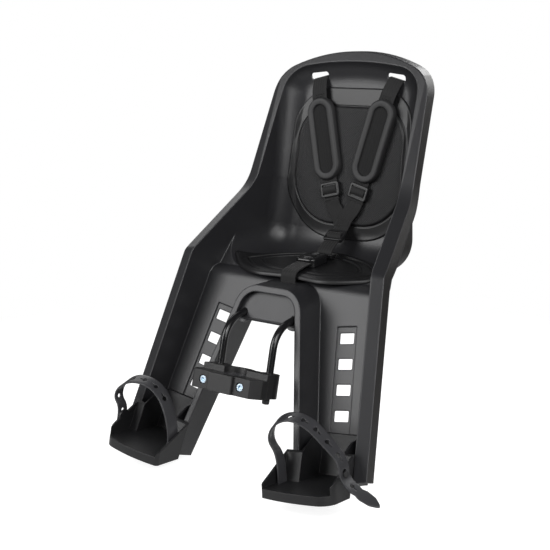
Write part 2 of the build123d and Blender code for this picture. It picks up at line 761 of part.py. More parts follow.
# Centre strap, buckle and crotch strap, in the middle plane
middle = Plane(origin=datum, x_dir=(0, 1, 0), z_dir=(1, 0, 0))
pan_lift = Vector(0, -sin(radians(pan_rise)), cos(radians(pan_rise)))
buckle_spot = datum + Vector(0, buckle_y, pan_front_z + pan_slope * (buckle_y - pan_front_y))
buckle_plane = Plane(origin=buckle_spot + pan_lift * (seat_pad_thick + web_gap), x_dir=(1, 0, 0),
                     z_dir=pan_lift)


def in_middle(plane, along, out):
    """A point given along and out from a plane, in the middle plane's own axes."""
    spot = middle.to_local_coords(plane.from_local_coords((0, along, out)))
    return (spot.X, spot.Y)


tongue_z = buckle_thick / 2
tongue_slot = 31.0
fold_high = in_middle(rest, 40, web_lift + 1)
fold_low = in_middle(buckle_plane, tongue_slot + 2, buckle_thick)
end_edge = strap_side.from_local_coords((strap_len + clear, 0, 0))
edge = [rest.to_local_coords(end_edge + strap_side.z_dir * (web_width / 2 * k)) for k in (-1, 1)]
inner, outer = sorted(((e.X, e.Y) for e in edge))
with BuildPart() as centre_strap:
    with BuildSketch(rest.offset(web_lift - web_thick / 2)):
        with BuildLine():
            Polyline(inner, outer, (web_width / 2, yoke_low), (-web_width / 2, yoke_low),
                     (-outer[0], outer[1]), (-inner[0], inner[1]), (0, inner[1] - 5), close=True)
        make_face()
    extrude(amount=web_thick)
    add(ribbon(middle, [in_middle(rest, yoke_low + 8, web_lift), fold_high, fold_low,
                        in_middle(buckle_plane, tongue_slot, 2),
                        in_middle(buckle_plane, tongue_slot + 11, 2)], web_thick, web_thick, web_width))
centre_strap.part.label = "centre_strap"

fall = (middle.from_local_coords(fold_low) - middle.from_local_coords(fold_high)).normalized()
slide_plane = Plane(origin=middle.from_local_coords(fold_high) + fall * (slider_len * 0.75), x_dir=(1, 0, 0),
                    z_dir=Vector(1, 0, 0).cross(-fall))
with BuildPart() as slider_centre:
    add(slider_on(slide_plane))
slider_centre.part.label = "slider_centre"

with BuildPart() as buckle_tongue:
    with BuildSketch(buckle_plane.offset(tongue_z - 1.5)):
        with Locations((0, 4)):
            Rectangle(20, 24, align=(Align.CENTER, Align.MIN))
        with Locations((0, tongue_slot)):
            RectangleRounded(buckle_width + 2, 14, 4)
            Rectangle(web_width + 2 * web_gap + 1, 6, mode=Mode.SUBTRACT)
    extrude(amount=3)
buckle_tongue.part.label = "buckle_tongue"

with BuildPart() as buckle_body:
    with BuildSketch(buckle_plane):
        RectangleRounded(buckle_width, buckle_len, 9)
    extrude(amount=buckle_thick)
    fillet(buckle_body.faces().sort_by(Axis(buckle_plane.origin, pan_lift))[-1].edges(), 3)
    with BuildSketch(buckle_plane.offset(tongue_z - 1.5 - web_gap)):
        with Locations((0, 4 - web_gap)):
            Rectangle(20 + 2 * web_gap, buckle_len, align=(Align.CENTER, Align.MIN))
        with Locations((0, -buckle_len / 2)):
            Rectangle(web_width + 2 * web_gap, 14, align=(Align.CENTER, Align.CENTER))
    extrude(amount=3 + 2 * web_gap, mode=Mode.SUBTRACT)
    with BuildSketch(buckle_plane.offset(buckle_thick - button_travel - 1)):
        with Locations((0, -3)):
            RectangleRounded(button_width + 2 * clear, button_len + 2 * clear, 4)
    extrude(amount=buckle_thick, mode=Mode.SUBTRACT)
buckle_body.part.label = "buckle_body"

with BuildPart() as buckle_button:
    with BuildSketch(buckle_plane.offset(buckle_thick - 1 + clear)):
        with Locations((0, -3)):
            RectangleRounded(button_width, button_len, 4)
    extrude(amount=1.6)
    fillet(buckle_button.faces().sort_by(Axis(buckle_plane.origin, pan_lift))[-1].edges(), 0.8)
buckle_button.part.label = "buckle_button"

lip_foot = hump_top - arch_lip
with BuildPart() as crotch_strap:
    low = lip_foot - clear - anchor_thick - clear - web_thick / 2
    add(ribbon(middle, [in_middle(buckle_plane, -buckle_len / 2 + 5, tongue_z), (crotch_y + 14, 2),
                        (crotch_y, -4), (crotch_y, low), (crotch_y + 10, low)],
               web_thick, web_thick, web_width))
crotch_strap.part.label = "crotch_strap"

with BuildPart() as crotch_anchor:
    with BuildSketch(Plane(origin=datum + Vector(0, crotch_y, lip_foot - clear))):
        RectangleRounded(anchor_width, anchor_len, anchor_thick)
        Rectangle(web_width + 2 * web_gap, web_thick + 2 * web_gap, mode=Mode.SUBTRACT)
    extrude(amount=-anchor_thick)
crotch_anchor.part.label = "crotch_anchor"

# Right footrest: a tray ahead of the leg on a short neck that slides on the strip
foot_spot = strip_origin + strip.y_dir * ((floor_z + hole_first) / strip.y_dir.Z)
neck_out = wall_half(foot_spot.Y - setback, floor_z) - foot_spot.X - neck_gap
roll_dir = Vector(cos(radians(tray_roll)), 0, sin(radians(tray_roll)))
back_dir = Vector(0, cos(radians(tray_pitch)), -sin(radians(tray_pitch)))
tray = Plane(origin=foot_spot, x_dir=roll_dir, z_dir=roll_dir.cross(back_dir))
tray_side = Plane(origin=tray.from_local_coords((-far, 0, 0)), x_dir=tray.y_dir, z_dir=tray.x_dir)


def box(plane, x0, x1, y0, y1, z0, z1):
    """A block between limits on a plane."""
    with BuildPart() as block:
        with BuildSketch(plane.offset(z0)):
            with Locations(((x0 + x1) / 2, (y0 + y1) / 2)):
                Rectangle(x1 - x0, y1 - y0)
        extrude(amount=z1 - z0)
    return block.part


def behind_panel(gap):
    """Everything behind the leg panel moved out by gap."""
    return box(strip, -far, far, -far, far, -far, gap)


with BuildPart() as tray_top:
    with BuildSketch(tray_side):
        with BuildLine():
            FilletPolyline((20, 52), (-14, 50), (-tray_front, 2), (-tray_front - 30, 2), radius=[14, 6])
            Polyline((-tray_front - 30, 2), (-tray_front - 30, -far / 4), (20, -far / 4), (20, 52))
        make_face()
    extrude(amount=2 * far)

with BuildPart() as tray_plan:
    with BuildSketch(tray.offset(-tray_skirt)) as outline:
        with BuildLine():
            edge_line = ThreePointArc((-tray_in, -tray_front + 4), (0, -tray_front),
                                      (tray_out, -tray_front + 8))
            Polyline(edge_line @ 1, (tray_out, -10), (-tray_in, -10), edge_line @ 0)
        make_face()
        fillet(outline.vertices().filter_by(lambda v: v.Y < -40 and v.X > 0), 22)
        fillet(outline.vertices().filter_by(lambda v: v.Y < -40 and v.X < 0), 5)
    extrude(amount=tray_skirt + 60)

with BuildPart() as tray_under:
    with BuildSketch(tray.offset(-tray_skirt - 10)) as outline:
        with BuildLine():
            inset_line = ThreePointArc((-tray_in + tray_wall, -tray_front + 4 + tray_wall),
                                       (0, -tray_front + tray_wall),
                                       (tray_out - tray_wall, -tray_front + 8 + tray_wall))
            Polyline(inset_line @ 1, (tray_out - tray_wall, 40), (-tray_in + tray_wall, 40), inset_line @ 0)
        make_face()
        fillet(outline.vertices().filter_by(lambda v: v.Y < -40 and v.X > 0), 22 - tray_wall)
    extrude(amount=tray_skirt + 10 - tray_floor)
    add(behind_rim(-tray_gap - tray_wall), mode=Mode.SUBTRACT)

with BuildPart() as tray_inside:
    add(box(tray, -tray_in + tray_wall, tray_out - tray_wall, -far, 40, 0, far / 2))
    add(behind_rim(-tray_gap - tray_wall), mode=Mode.SUBTRACT)

with BuildPart() as neck_hollow:
    add(box(tray, -neck_in + tray_wall, neck_out - tray_wall, -70, 60, 0, far / 2))
    add(box(tray, -neck_in + tray_wall, neck_out - tray_wall, -70, 60, -far / 4, -tray_floor))
    add(behind_panel(clear + plate_thick), mode=Mode.SUBTRACT)

with BuildPart() as footrest_right:
    add(tray_plan.part)
    add(behind_rim(-tray_gap), mode=Mode.SUBTRACT)
    add(box(tray, -neck_in, neck_out, -58, 60, -tray_skirt, 60))
    add(tray_top.part, mode=Mode.INTERSECT)
    add(behind_panel(clear), mode=Mode.SUBTRACT)
    add(tray_under.part, mode=Mode.SUBTRACT)
    add(tray_inside.part, mode=Mode.SUBTRACT)
    add(neck_hollow.part, mode=Mode.SUBTRACT)
    with BuildSketch(Plane(origin=tray.from_local_coords((tray_out - tray_wall, -peg_y, peg_z)),
                           x_dir=tray.y_dir, z_dir=tray.x_dir)):
        Circle(peg_dia * 1.8)
    extrude(amount=tray_wall)
    add(box(strip, -strip_width / 2 + clear, strip_width / 2 - clear, -key_low, -key_high,
            -strip_depth + clear, clear + plate_thick / 2))
    with BuildSketch(Plane(origin=tray.from_local_coords((tray_out - tray_wall / 2, -peg_y, peg_z)),
                           x_dir=tray.y_dir, z_dir=tray.x_dir)):
        Circle(peg_dia / 2)
    extrude(amount=tray_wall / 2 + foot_web_thick + 3 * clear + 1.5)
    peg_head = tray.from_local_coords((tray_out + foot_web_thick + 3 * clear, -peg_y, peg_z))
    with BuildSketch(Plane(origin=peg_head, x_dir=tray.y_dir, z_dir=tray.x_dir)):
        Circle(peg_dia * 0.9)
    extrude(amount=2)
    add(box(tray, -tray_in + tray_wall + 2, -tray_in + tray_wall + 2 + foot_web_thick + 2,
            -peg_y - foot_web / 2 - 0.5, -peg_y + foot_web / 2 + 0.5, -20, 5), mode=Mode.SUBTRACT)
footrest_right.part.label = "footrest_right"

# Foot straps: a loop over the instep from a slot in the floor to the peg, then a free tail
foot_plane = Plane(origin=tray.from_local_coords((0, -peg_y, 0)), x_dir=tray.x_dir, z_dir=-tray.y_dir)
root_x = -tray_in + tray_wall + 3 + foot_web_thick / 2
peg_out = tray_out + clear + foot_web_thick / 2 + clear


def foot_strap(points, rounding, tail_spots):
    """A rubber band with a stop under the tray floor and holes for the peg."""
    with BuildPart() as band:
        add(ribbon(foot_plane, [(root_x, -tray_skirt + 2), *points], rounding, foot_web_thick, foot_web))
        add(box(foot_plane, root_x - 4, root_x + 4, -tray_skirt, -tray_floor - clear - 2,
                -foot_web / 2 + 3, foot_web / 2 - 3))
        for spot, turn in tail_spots:
            hole = Plane(origin=foot_plane.from_local_coords((*spot, 0)),
                         z_dir=foot_plane.x_dir * cos(radians(turn)) + foot_plane.y_dir * sin(radians(turn)))
            add(Cylinder(peg_dia / 2 + clear, 12, mode=Mode.PRIVATE).moved(hole.location), mode=Mode.SUBTRACT)
    return band.part


with BuildPart() as foot_strap_right:
    add(foot_strap([(root_x, 36), (-60, 55), (-50, 78), (-24, 89), (6, 81), (32, 58), (peg_out, 38),
                    (peg_out, 11), (104, -13)], [8, 10, 14, 18, 18, 20, 9, 10], [((peg_out, peg_z), 0)]))
foot_strap_right.part.label = "foot_strap_right"

with BuildPart() as foot_strap_left:
    add(foot_strap([(root_x, 28), (-28, 61), (-10, 79), (14, 85), (40, 81), (62, 64), (66, 46),
                    (peg_out, 36), (peg_out, 8)], [20, 14, 18, 18, 18, 14, 10, 6], [((peg_out, peg_z), 0)]))
    mirror(about=Plane.YZ, mode=Mode.REPLACE)
foot_strap_left.part.label = "foot_strap_left"


def left_of(piece):
    """The mirrored twin of a right-hand piece."""
    twin = mirror(piece.part, about=Plane.YZ)
    twin.label = piece.part.label.replace("right", "left")
    return twin


pairs = (shoulder_strap_right, shoulder_pad_right, slider_right, footrest_right)
single = (seat_shell, back_pad, seat_pad, fork, fork_tips, fork_cover, cover_screws, clamp_front, clamp_rear,
          clamp_liner, clamp_bolts, clamp_nuts, anchors, centre_strap, slider_centre, buckle_tongue,
          buckle_body, buckle_button, crotch_strap, crotch_anchor, foot_strap_right, foot_strap_left)
os.makedirs("parts", exist_ok=True)
for piece in [p.part for p in single + pairs] + [left_of(p) for p in pairs]:
    export_step(piece, "parts/" + piece.label + ".step")
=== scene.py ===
import math

import bmesh
import bpy
import numpy as np
from mathutils import Matrix, Vector
from mathutils.bvhtree import BVHTree


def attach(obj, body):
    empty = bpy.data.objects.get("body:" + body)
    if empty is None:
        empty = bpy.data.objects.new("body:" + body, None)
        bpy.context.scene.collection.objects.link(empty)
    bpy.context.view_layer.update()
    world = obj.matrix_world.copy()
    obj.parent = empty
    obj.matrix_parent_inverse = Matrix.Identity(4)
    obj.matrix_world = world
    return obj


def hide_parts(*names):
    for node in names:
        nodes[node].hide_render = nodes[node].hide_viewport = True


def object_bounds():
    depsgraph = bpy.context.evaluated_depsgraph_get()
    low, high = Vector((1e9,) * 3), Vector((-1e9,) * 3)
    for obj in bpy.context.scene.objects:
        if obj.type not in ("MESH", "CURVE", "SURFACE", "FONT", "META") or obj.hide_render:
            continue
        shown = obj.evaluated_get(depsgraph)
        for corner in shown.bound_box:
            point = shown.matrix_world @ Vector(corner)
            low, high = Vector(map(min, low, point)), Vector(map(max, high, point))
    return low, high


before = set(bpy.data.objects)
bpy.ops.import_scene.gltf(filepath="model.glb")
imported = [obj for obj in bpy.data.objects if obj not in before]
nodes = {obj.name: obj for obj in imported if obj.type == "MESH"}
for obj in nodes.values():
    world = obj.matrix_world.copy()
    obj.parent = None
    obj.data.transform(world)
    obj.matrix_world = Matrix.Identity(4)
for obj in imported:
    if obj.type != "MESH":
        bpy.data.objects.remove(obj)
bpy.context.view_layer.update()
scene = bpy.context.scene

# The datum of the seat's own sizes, in millimetres from the centre of the stem bore
datum = Vector((0, 92, 131))

# Camera at the photograph's angle, aimed at the datum
distance = 1.568
right = Vector((0.7998, 0.6003, 0.0))
up = Vector((-0.1221, 0.1627, 0.9791))
back = right.cross(up).normalized()
cam_data = bpy.data.cameras.new("camera")
cam_data.sensor_width = 36
cam_data.lens = 75.27
cam = bpy.data.objects.new("camera", cam_data)
scene.collection.objects.link(cam)
pose = Matrix((right, up, back)).transposed().to_4x4()
pose.translation = datum * 0.001 + back * distance
cam.matrix_world = pose
scene.camera = cam


# Materials
class Shader:
    """A new material, with short ways to add nodes whose inputs are sockets or plain values."""

    def __init__(self, name):
        self.mat = bpy.data.materials.new(name)
        self.mat.use_nodes = True
        self.bsdf = self.mat.node_tree.nodes["Principled BSDF"]
        self.place = self.node("TexCoord").outputs

    def fill(self, node, inputs):
        """Links sockets to a node's inputs and sets plain values."""
        for key, value in dict(inputs).items():
            if isinstance(value, bpy.types.NodeSocket):
                self.mat.node_tree.links.new(value, node.inputs[key])
            else:
                node.inputs[key].default_value = value

    def node(self, kind, inputs=(), **props):
        """A new node."""
        new = self.mat.node_tree.nodes.new("ShaderNode" + kind)
        for key, value in props.items():
            setattr(new, key, value)
        self.fill(new, inputs)
        return new

    def calc(self, operation, *values):
        """The result of one sum."""
        return self.node("Math", enumerate(values), operation=operation).outputs[0]

    def ramp(self, value, low, high, start=0.0, end=1.0):
        """A value carried over from start and end to low and high."""
        return self.node("MapRange", {"Value": value, "From Min": start, "From Max": end,
                                      "To Min": low, "To Max": high}).outputs["Result"]

    def blend(self, share, first, second):
        """Two colours mixed by a share."""
        return self.node("Mix", {0: share, 6: first, 7: second}, data_type="RGBA").outputs[2]

    def noise(self, scale, detail):
        """Soft noise over the object."""
        return self.node("TexNoise", {"Vector": self.place["Object"], "Scale": scale,
                                      "Detail": detail}).outputs["Fac"]

    def pebbles(self, scale):
        """The cells of a moulded grain."""
        return self.node("TexVoronoi", {"Vector": self.place["Object"], "Scale": scale},
                         feature="SMOOTH_F1").outputs["Distance"]

    def soft_edge(self, radius, samples=6):
        """The normal, turned as if edges were softly rounded."""
        return self.node("Bevel", {"Radius": radius}, samples=samples).outputs["Normal"]

    def drift(self, dark, light, rough, scale=9.0):
        """Slow drift of tone and gloss over the surface."""
        share = self.noise(scale, 3.0)
        self.fill(self.bsdf, {"Base Color": self.blend(share, (*dark, 1), (*light, 1)),
                              "Roughness": self.ramp(share, rough - 0.05, rough + 0.06)})

    def relief(self, height, strength, depth, normal=None):
        """Bump of a height, over a normal where one is given."""
        bump = self.node("Bump", {"Height": height, "Strength": strength, "Distance": depth})
        if normal is not None:
            self.fill(bump, {"Normal": normal})
        self.fill(self.bsdf, {"Normal": bump.outputs["Normal"]})


def grained(name, dark, light, rough, scale, depth, round_edge):
    """Moulded plastic: pebble grain, slow drift of tone and gloss, softly rounded edges."""
    new = Shader(name)
    new.drift(dark, light, rough)
    height = new.calc("ADD", new.pebbles(scale), new.noise(scale * 2.2, 2.0))
    new.relief(height, 0.6, depth, new.soft_edge(round_edge))
    return new.mat


def outer_side(new, normal):
    """1 on the outside of the shell's walls and on its back, 0 inside the bucket."""
    x = new.node("SeparateXYZ", {0: new.place["Object"]}).outputs["X"]
    lean = new.node("SeparateXYZ", {0: normal}).outputs
    outward = new.calc("MAXIMUM", new.calc("MULTIPLY", new.calc("SIGN", x), lean["X"]), lean["Y"])
    wide = new.calc("GREATER_THAN", new.calc("ABSOLUTE", x), 0.118)
    rear = new.calc("GREATER_THAN", lean["Y"], 0.2)
    return new.calc("MULTIPLY", new.ramp(outward, 0.0, 1.0, 0.3, 0.6), new.calc("MAXIMUM", wide, rear))


def shell_plastic(name):
    """Satin inside, coarser grain and a darker tone outside, and a painted highlight that makes the edges
    lighter.
    """
    new = Shader(name)
    geometry = new.node("NewGeometry").outputs
    outside = outer_side(new, geometry["True Normal"])
    drift = new.noise(7.0, 3.0)
    inner = new.blend(drift, (0.0175, 0.0175, 0.0194, 1), (0.0235, 0.0235, 0.0258, 1))
    outer = new.blend(drift, (0.0125, 0.0115, 0.0112, 1), (0.017, 0.0155, 0.015, 1))
    edge = new.soft_edge(0.0026, 8)
    bend = new.node("VectorMath", {0: edge, 1: geometry["Normal"]}, operation="DOT_PRODUCT")
    # painted highlight: a lighter colour mixed in where the rounded-edge normal turns away, standing in for
    # light shining on the edges
    edge_highlight = new.ramp(bend.outputs["Value"], 0.0, 0.75, 0.992, 0.9)
    plain = new.blend(outside, inner, outer)
    rough = new.calc("MULTIPLY_ADD", outside, 0.12, new.ramp(drift, 0.33, 0.42))
    new.fill(new.bsdf, {"Base Color": new.blend(edge_highlight, plain, (0.062, 0.062, 0.066, 1)), "Roughness": rough})
    coarse = new.calc("MULTIPLY", new.pebbles(620.0), outside)
    new.relief(new.calc("MULTIPLY_ADD", new.noise(1900.0, 2.0), 0.3, coarse), 0.7, 0.0002, edge)
    return new.mat


def dotted(name):
    """Foam with a fine pressed dot mesh, laid on the plane of the back."""
    new = Shader(name)
    new.drift((0.0135, 0.0135, 0.0144), (0.0185, 0.0185, 0.0198), 0.52, 14.0)
    upright = (-math.pi / 2, 0, math.pi / 4)
    turn = new.node("Mapping", {"Vector": new.place["Object"], "Rotation": upright})
    dots = new.node("TexVoronoi", {"Vector": turn.outputs[0], "Scale": 430.0, "Randomness": 0.0},
                    voronoi_dimensions="2D")
    new.relief(new.ramp(dots.outputs["Distance"], 0.0, 1.0, 0.18, 0.42), 0.9, 0.0005)
    new.fill(new.bsdf, {"Specular IOR Level": 0.35})
    return new.mat


def woven(name, dark, light):
    """Harness webbing: chevron ribs along the strap, in millimetres of its own length and width."""
    new = Shader(name)
    new.drift(dark, light, 0.68, 30.0)
    strap = new.node("SeparateXYZ", {0: new.place["UV"]}).outputs
    rib = new.calc("PINGPONG", strap["Y"], 2.1)
    yarn = new.calc("SINE", new.calc("MULTIPLY", new.calc("ADD", strap["X"], rib), 4.6))
    new.relief(new.calc("MULTIPLY_ADD", rib, 1.4, yarn), 0.6, 0.0001)
    new.fill(new.bsdf, {"Specular IOR Level": 0.3, "Sheen Weight": 0.12, "Sheen Roughness": 0.4})
    return new.mat


def zinc(name):
    """Blue zinc plate, uneven in tone and gloss."""
    new = Shader(name)
    new.drift((0.42, 0.55, 0.68), (0.66, 0.76, 0.84), 0.3, 160.0)
    new.fill(new.bsdf, {"Metallic": 1, "Normal": new.soft_edge(0.0004)})
    return new.mat


shell_mat = shell_plastic("shell_plastic")
tray_mat = grained("tray_plastic", (0.009, 0.009, 0.0098), (0.013, 0.013, 0.0142),
                   0.44, 900, 0.00012, 0.0013)
clamp_mat = grained("clamp_plastic", (0.010, 0.0098, 0.0104), (0.015, 0.0147, 0.0155),
                    0.42, 1500, 0.00005, 0.0012)
gloss_mat = grained("buckle_plastic", (0.009, 0.009, 0.0098), (0.013, 0.013, 0.014),
                    0.2, 2400, 0.00002, 0.0008)
slider_mat = grained("slider_plastic", (0.010, 0.010, 0.0106), (0.014, 0.014, 0.0147),
                     0.4, 2400, 0.00002, 0.0005)
rubber_mat = grained("strap_rubber", (0.034, 0.034, 0.037), (0.045, 0.045, 0.049),
                     0.32, 2600, 0.00004, 0.0004)
rod_mat = grained("rod_paint", (0.008, 0.008, 0.0088), (0.011, 0.011, 0.0118),
                  0.22, 500, 0.00002, 0.0003)
foam_mat = grained("pad_foam", (0.0085, 0.0085, 0.0092), (0.012, 0.012, 0.0129),
                   0.4, 1500, 0.00005, 0.0006)
ring_mat = grained("pad_ring", (0.019, 0.019, 0.0198), (0.025, 0.025, 0.0262),
                   0.56, 1300, 0.00006, 0.0006)
mesh_mat = dotted("pad_dots")
web_mat = woven("webbing", (0.0135, 0.0133, 0.0137), (0.0188, 0.0184, 0.0189))
# painted shade: the same webbing as the straps, made darker where it shows sunk in the pads' windows
window_web_painted_shade_mat = woven("window_webbing_painted_shade", (0.0055, 0.0055, 0.0058), (0.008, 0.008, 0.0084))
zinc_mat = zinc("zinc_plate")
# painted light: the fork cover is given a lighter tone than the shell's plastic, standing in for light
# falling on it
cover_painted_light_mat = grained("cover_plastic_painted_light", (0.027, 0.027, 0.029), (0.035, 0.035, 0.038),
                    0.42, 900, 0.0001, 0.0011)

by_node = {
    "seat_shell": shell_mat, "fork_cover": cover_painted_light_mat,
    "footrest_left": tray_mat, "footrest_right": tray_mat,
    "clamp_front": clamp_mat, "clamp_rear": clamp_mat, "clamp_liner": rubber_mat, "fork": rod_mat,
    "fork_tips": rubber_mat, "clamp_bolts": zinc_mat, "clamp_nuts": zinc_mat, "cover_screws": zinc_mat,
    "slider_left": slider_mat, "slider_right": slider_mat, "slider_centre": slider_mat,
    "buckle_tongue": gloss_mat, "buckle_body": gloss_mat, "buckle_button": gloss_mat,
    "harness_anchors": gloss_mat, "crotch_anchor": gloss_mat, "back_pad": foam_mat, "seat_pad": foam_mat,
    "shoulder_pad_left": foam_mat, "shoulder_pad_right": foam_mat, "shoulder_strap_left": web_mat,
    "shoulder_strap_right": web_mat, "centre_strap": web_mat, "crotch_strap": web_mat,
    "foot_strap_left": rubber_mat, "foot_strap_right": rubber_mat,
}
for name, obj in nodes.items():
    obj.data.materials.clear()
    obj.data.materials.append(by_node[name])

# The back panel's own plane, in millimetres
rest_lean = math.radians(7.4)
rest_up = Vector((0, math.sin(rest_lean), math.cos(rest_lean)))
rest_out = Vector((0, -math.cos(rest_lean), math.sin(rest_lean)))
rest_y = 168.9
rest_foot = datum + Vector((0, rest_y, 0))
across = Vector((1, 0, 0))


def rest(x, along, out):
    """A point on the back panel's own plane."""
    return rest_foot + across * x + rest_up * along + rest_out * out


def piece(name, verts, faces, mats, body, node=None, uvs=None, pick=None, weld=False):
    """A new mesh object, given in millimetres, that rides on a body."""
    mesh = bpy.data.meshes.new(name)
    mesh.from_pydata([tuple(c * 0.001 for c in v) for v in verts], [], faces)
    for mat in mats:
        mesh.materials.append(mat)
    if uvs is not None:
        layer = mesh.uv_layers.new(name="UVMap")
        for loop in mesh.loops:
            layer.data[loop.index].uv = uvs[loop.vertex_index]
    if pick is not None:
        mesh.polygons.foreach_set("material_index", pick)
    bm = bmesh.new()
    bm.from_mesh(mesh)
    if weld:
        bmesh.ops.remove_doubles(bm, verts=bm.verts, dist=2e-6)
    bmesh.ops.recalc_face_normals(bm, faces=bm.faces)
    bm.to_mesh(mesh)
    bm.free()
    mesh.polygons.foreach_set("use_smooth", [True] * len(mesh.polygons))
    obj = bpy.data.objects.new(name, mesh)
    scene.collection.objects.link(obj)
    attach(obj, body)
    if node:
        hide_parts(node)
    return obj


# Outlines
def smoothed(points, rounds=3):
    """Corner-cut line through control points."""
    line = np.array([tuple(p) for p in points], float)
    for _ in range(rounds):
        cut = [line[0]]
        for a, b in zip(line[:-1], line[1:]):
            cut += [a * 0.75 + b * 0.25, a * 0.25 + b * 0.75]
        line = np.array(cut + [line[-1]])
    return line


# Foam pads on the dish of the shell
shell = nodes["seat_shell"].data
tree_of_shell = BVHTree.FromPolygons([v.co * 1000 for v in shell.vertices],
                                     [p.vertices[:] for p in shell.polygons])


def rounded(corners, radii, step=2.0):
    """Closed outline through corners with the given roundings, as an even row of points."""
    out = []
    count = len(corners)
    for i, (corner, radius) in enumerate(zip(corners, radii)):
        c = np.array(corner, float)
        a = np.array(corners[i - 1], float) - c
        b = np.array(corners[(i + 1) % count], float) - c
        a /= np.linalg.norm(a)
        b /= np.linalg.norm(b)
        half = math.acos(np.clip(a @ b, -1, 1)) / 2
        mid = (a + b) / np.linalg.norm(a + b)
        hub = c + mid * radius / math.sin(half)
        start, end = c + a * radius / math.tan(half) - hub, c + b * radius / math.tan(half) - hub
        sweep = math.pi - 2 * half
        for t in np.linspace(0, 1, 24):
            ray = start * math.sin((1 - t) * sweep) + end * math.sin(t * sweep)
            out.append(hub + ray / np.linalg.norm(ray) * radius)
    return even(np.array(out), step)


def even(points, step, closed=True):
    """The same line with points a step apart."""
    line = np.vstack([points, points[:1]]) if closed else points
    run = np.concatenate([[0], np.cumsum(np.linalg.norm(np.diff(line, axis=0), axis=1))])
    count = max(int(run[-1] / step), 8)
    spots = np.linspace(0, run[-1], count, endpoint=not closed)
    return np.stack([np.interp(spots, run, line[:, k]) for k in range(line.shape[1])], axis=1)


def depth_in(points, outline):
    """Distance of points from an outline, positive inside it."""
    ends = np.roll(outline, -1, axis=0)
    run = ends - outline
    best = np.full(len(points), 1e9)
    inside = np.zeros(len(points), bool)
    for a, d, e in zip(outline, run, ends):
        t = np.clip(((points - a) @ d) / (d @ d), 0, 1)
        best = np.minimum(best, np.linalg.norm(points - a - t[:, None] * d, axis=1))
        cross = (a[1] > points[:, 1]) != (e[1] > points[:, 1])
        with np.errstate(divide="ignore", invalid="ignore"):
            x = a[0] + (points[:, 1] - a[1]) / (e[1] - a[1]) * (e[0] - a[0])
        inside ^= cross & (points[:, 0] < x)
    return np.where(inside, best, -best)


def swell(d, radius):
    """Quarter round from 0 to 1 over a distance."""
    t = np.clip(1 - d / radius, 0, 1)
    return np.sqrt(1 - t * t)


def notch(d, at, width):
    """A soft groove of unit depth."""
    return np.exp(-((d - at) / width) ** 2)


def laid_pad(name, outline, hub, base, height, mats, picker, node, facing, share, inner=None):
    """A closed pad over an outline, laid on a base surface with a height over it.

    Its rings run from the outline, at share 1, by way of an inner line at share 0.5, to the hub.
    """
    rings = len(share)
    inner = hub + (outline - hub) * 0.5 if inner is None else inner
    at = share[:, None, None]
    flat = np.where(at >= 0.5, inner + (outline - inner) * (at - 0.5) * 2, hub + (inner - hub) * at * 2)
    spots = flat.reshape(-1, 2)
    ground = np.array([base(p, q) for p, q in spots]).reshape(rings, -1, 3)
    for _ in range(10):
        ring = (np.roll(ground, 1, axis=1) + np.roll(ground, -1, axis=1)) / 2
        ground[1:-1] = ground[1:-1] * 0.5 + ring[1:-1] * 0.25 + (ground[2:] + ground[:-2]) * 0.125
        ground[0] = ground[0] * 0.5 + ring[0] * 0.5
    along = np.roll(ground, -1, axis=1) - np.roll(ground, 1, axis=1)
    inward = np.gradient(ground, axis=0)
    normal = np.cross(along, inward)
    normal /= np.linalg.norm(normal, axis=2)[:, :, None]
    if (normal.reshape(-1, 3) @ np.array(facing)).mean() < 0:
        normal = -normal
    lift = height(flat, at).reshape(rings, -1, 1)
    top = ground + normal * lift
    low = ground + normal * 0.4
    count = outline.shape[0]
    keep = [0, rings // 8, rings // 3, rings * 2 // 3, rings - 1]
    verts = list(top.reshape(-1, 3)) + [r for k in keep for r in low[k]]
    faces, kinds = [], []
    mark = np.broadcast_to(picker(at)[:, :, 0], flat.shape[:2])
    for k in range(rings - 1):
        for i in range(count):
            j = (i + 1) % count
            faces.append((k * count + i, k * count + j, (k + 1) * count + j, (k + 1) * count + i))
            kinds.append(int(mark[k + 1, i]))
    start = rings * count
    for k in range(len(keep) - 1):
        here, ahead = start + k * count, start + (k + 1) * count
        for i in range(count):
            j = (i + 1) % count
            faces.append((here + i, ahead + i, ahead + j, here + j))
            kinds.append(0)
    for i in range(count):
        j = (i + 1) % count
        faces.append((i, start + i, start + j, j))
        kinds.append(0)
    for row, kind in (((rings - 1) * count, int(mark[-1, 0])), (start + (len(keep) - 1) * count, 0)):
        verts.append(np.mean([verts[row + i] for i in range(count)], axis=0))
        for i in range(count):
            faces.append((row + i, row + (i + 1) % count, len(verts) - 1))
            kinds.append(kind)
    obj = piece(name, verts, faces, mats, "seat", node, pick=kinds)
    return obj


def on_back(x, z):
    """The shell behind a point of the back pad."""
    hit = tree_of_shell.ray_cast(datum + Vector((x, 70, z)), Vector((0, 1, 0)))[0]
    return hit if hit else datum + Vector((x, rest_y + 0.13 * z, z))


def pan_level(y):
    """Height of the flat of the pan over the datum."""
    return -10 + 0.0875 * (y - 42.4)


def on_pan(x, y):
    """The pan under a point of the seat pad, carried on flat past its front edge."""
    hit = tree_of_shell.ray_cast(datum + Vector((x, y, 60)), Vector((0, 0, -1)))[0]
    flat = datum.z + pan_level(y)
    return Vector((x, y + datum.y, max(hit.z if hit else flat, flat)))


def facing_line(outline, hub, other):
    """Points of another outline in the same directions from the hub."""
    aim = np.arctan2(*(outline - hub).T)
    ray = other - hub
    turn = np.arctan2(*ray.T)
    order = np.argsort(turn)
    reach = np.interp(aim, turn[order], np.linalg.norm(ray, axis=1)[order], period=2 * math.pi)
    return hub + reach[:, None] * np.stack([np.sin(aim), np.cos(aim)], axis=1)


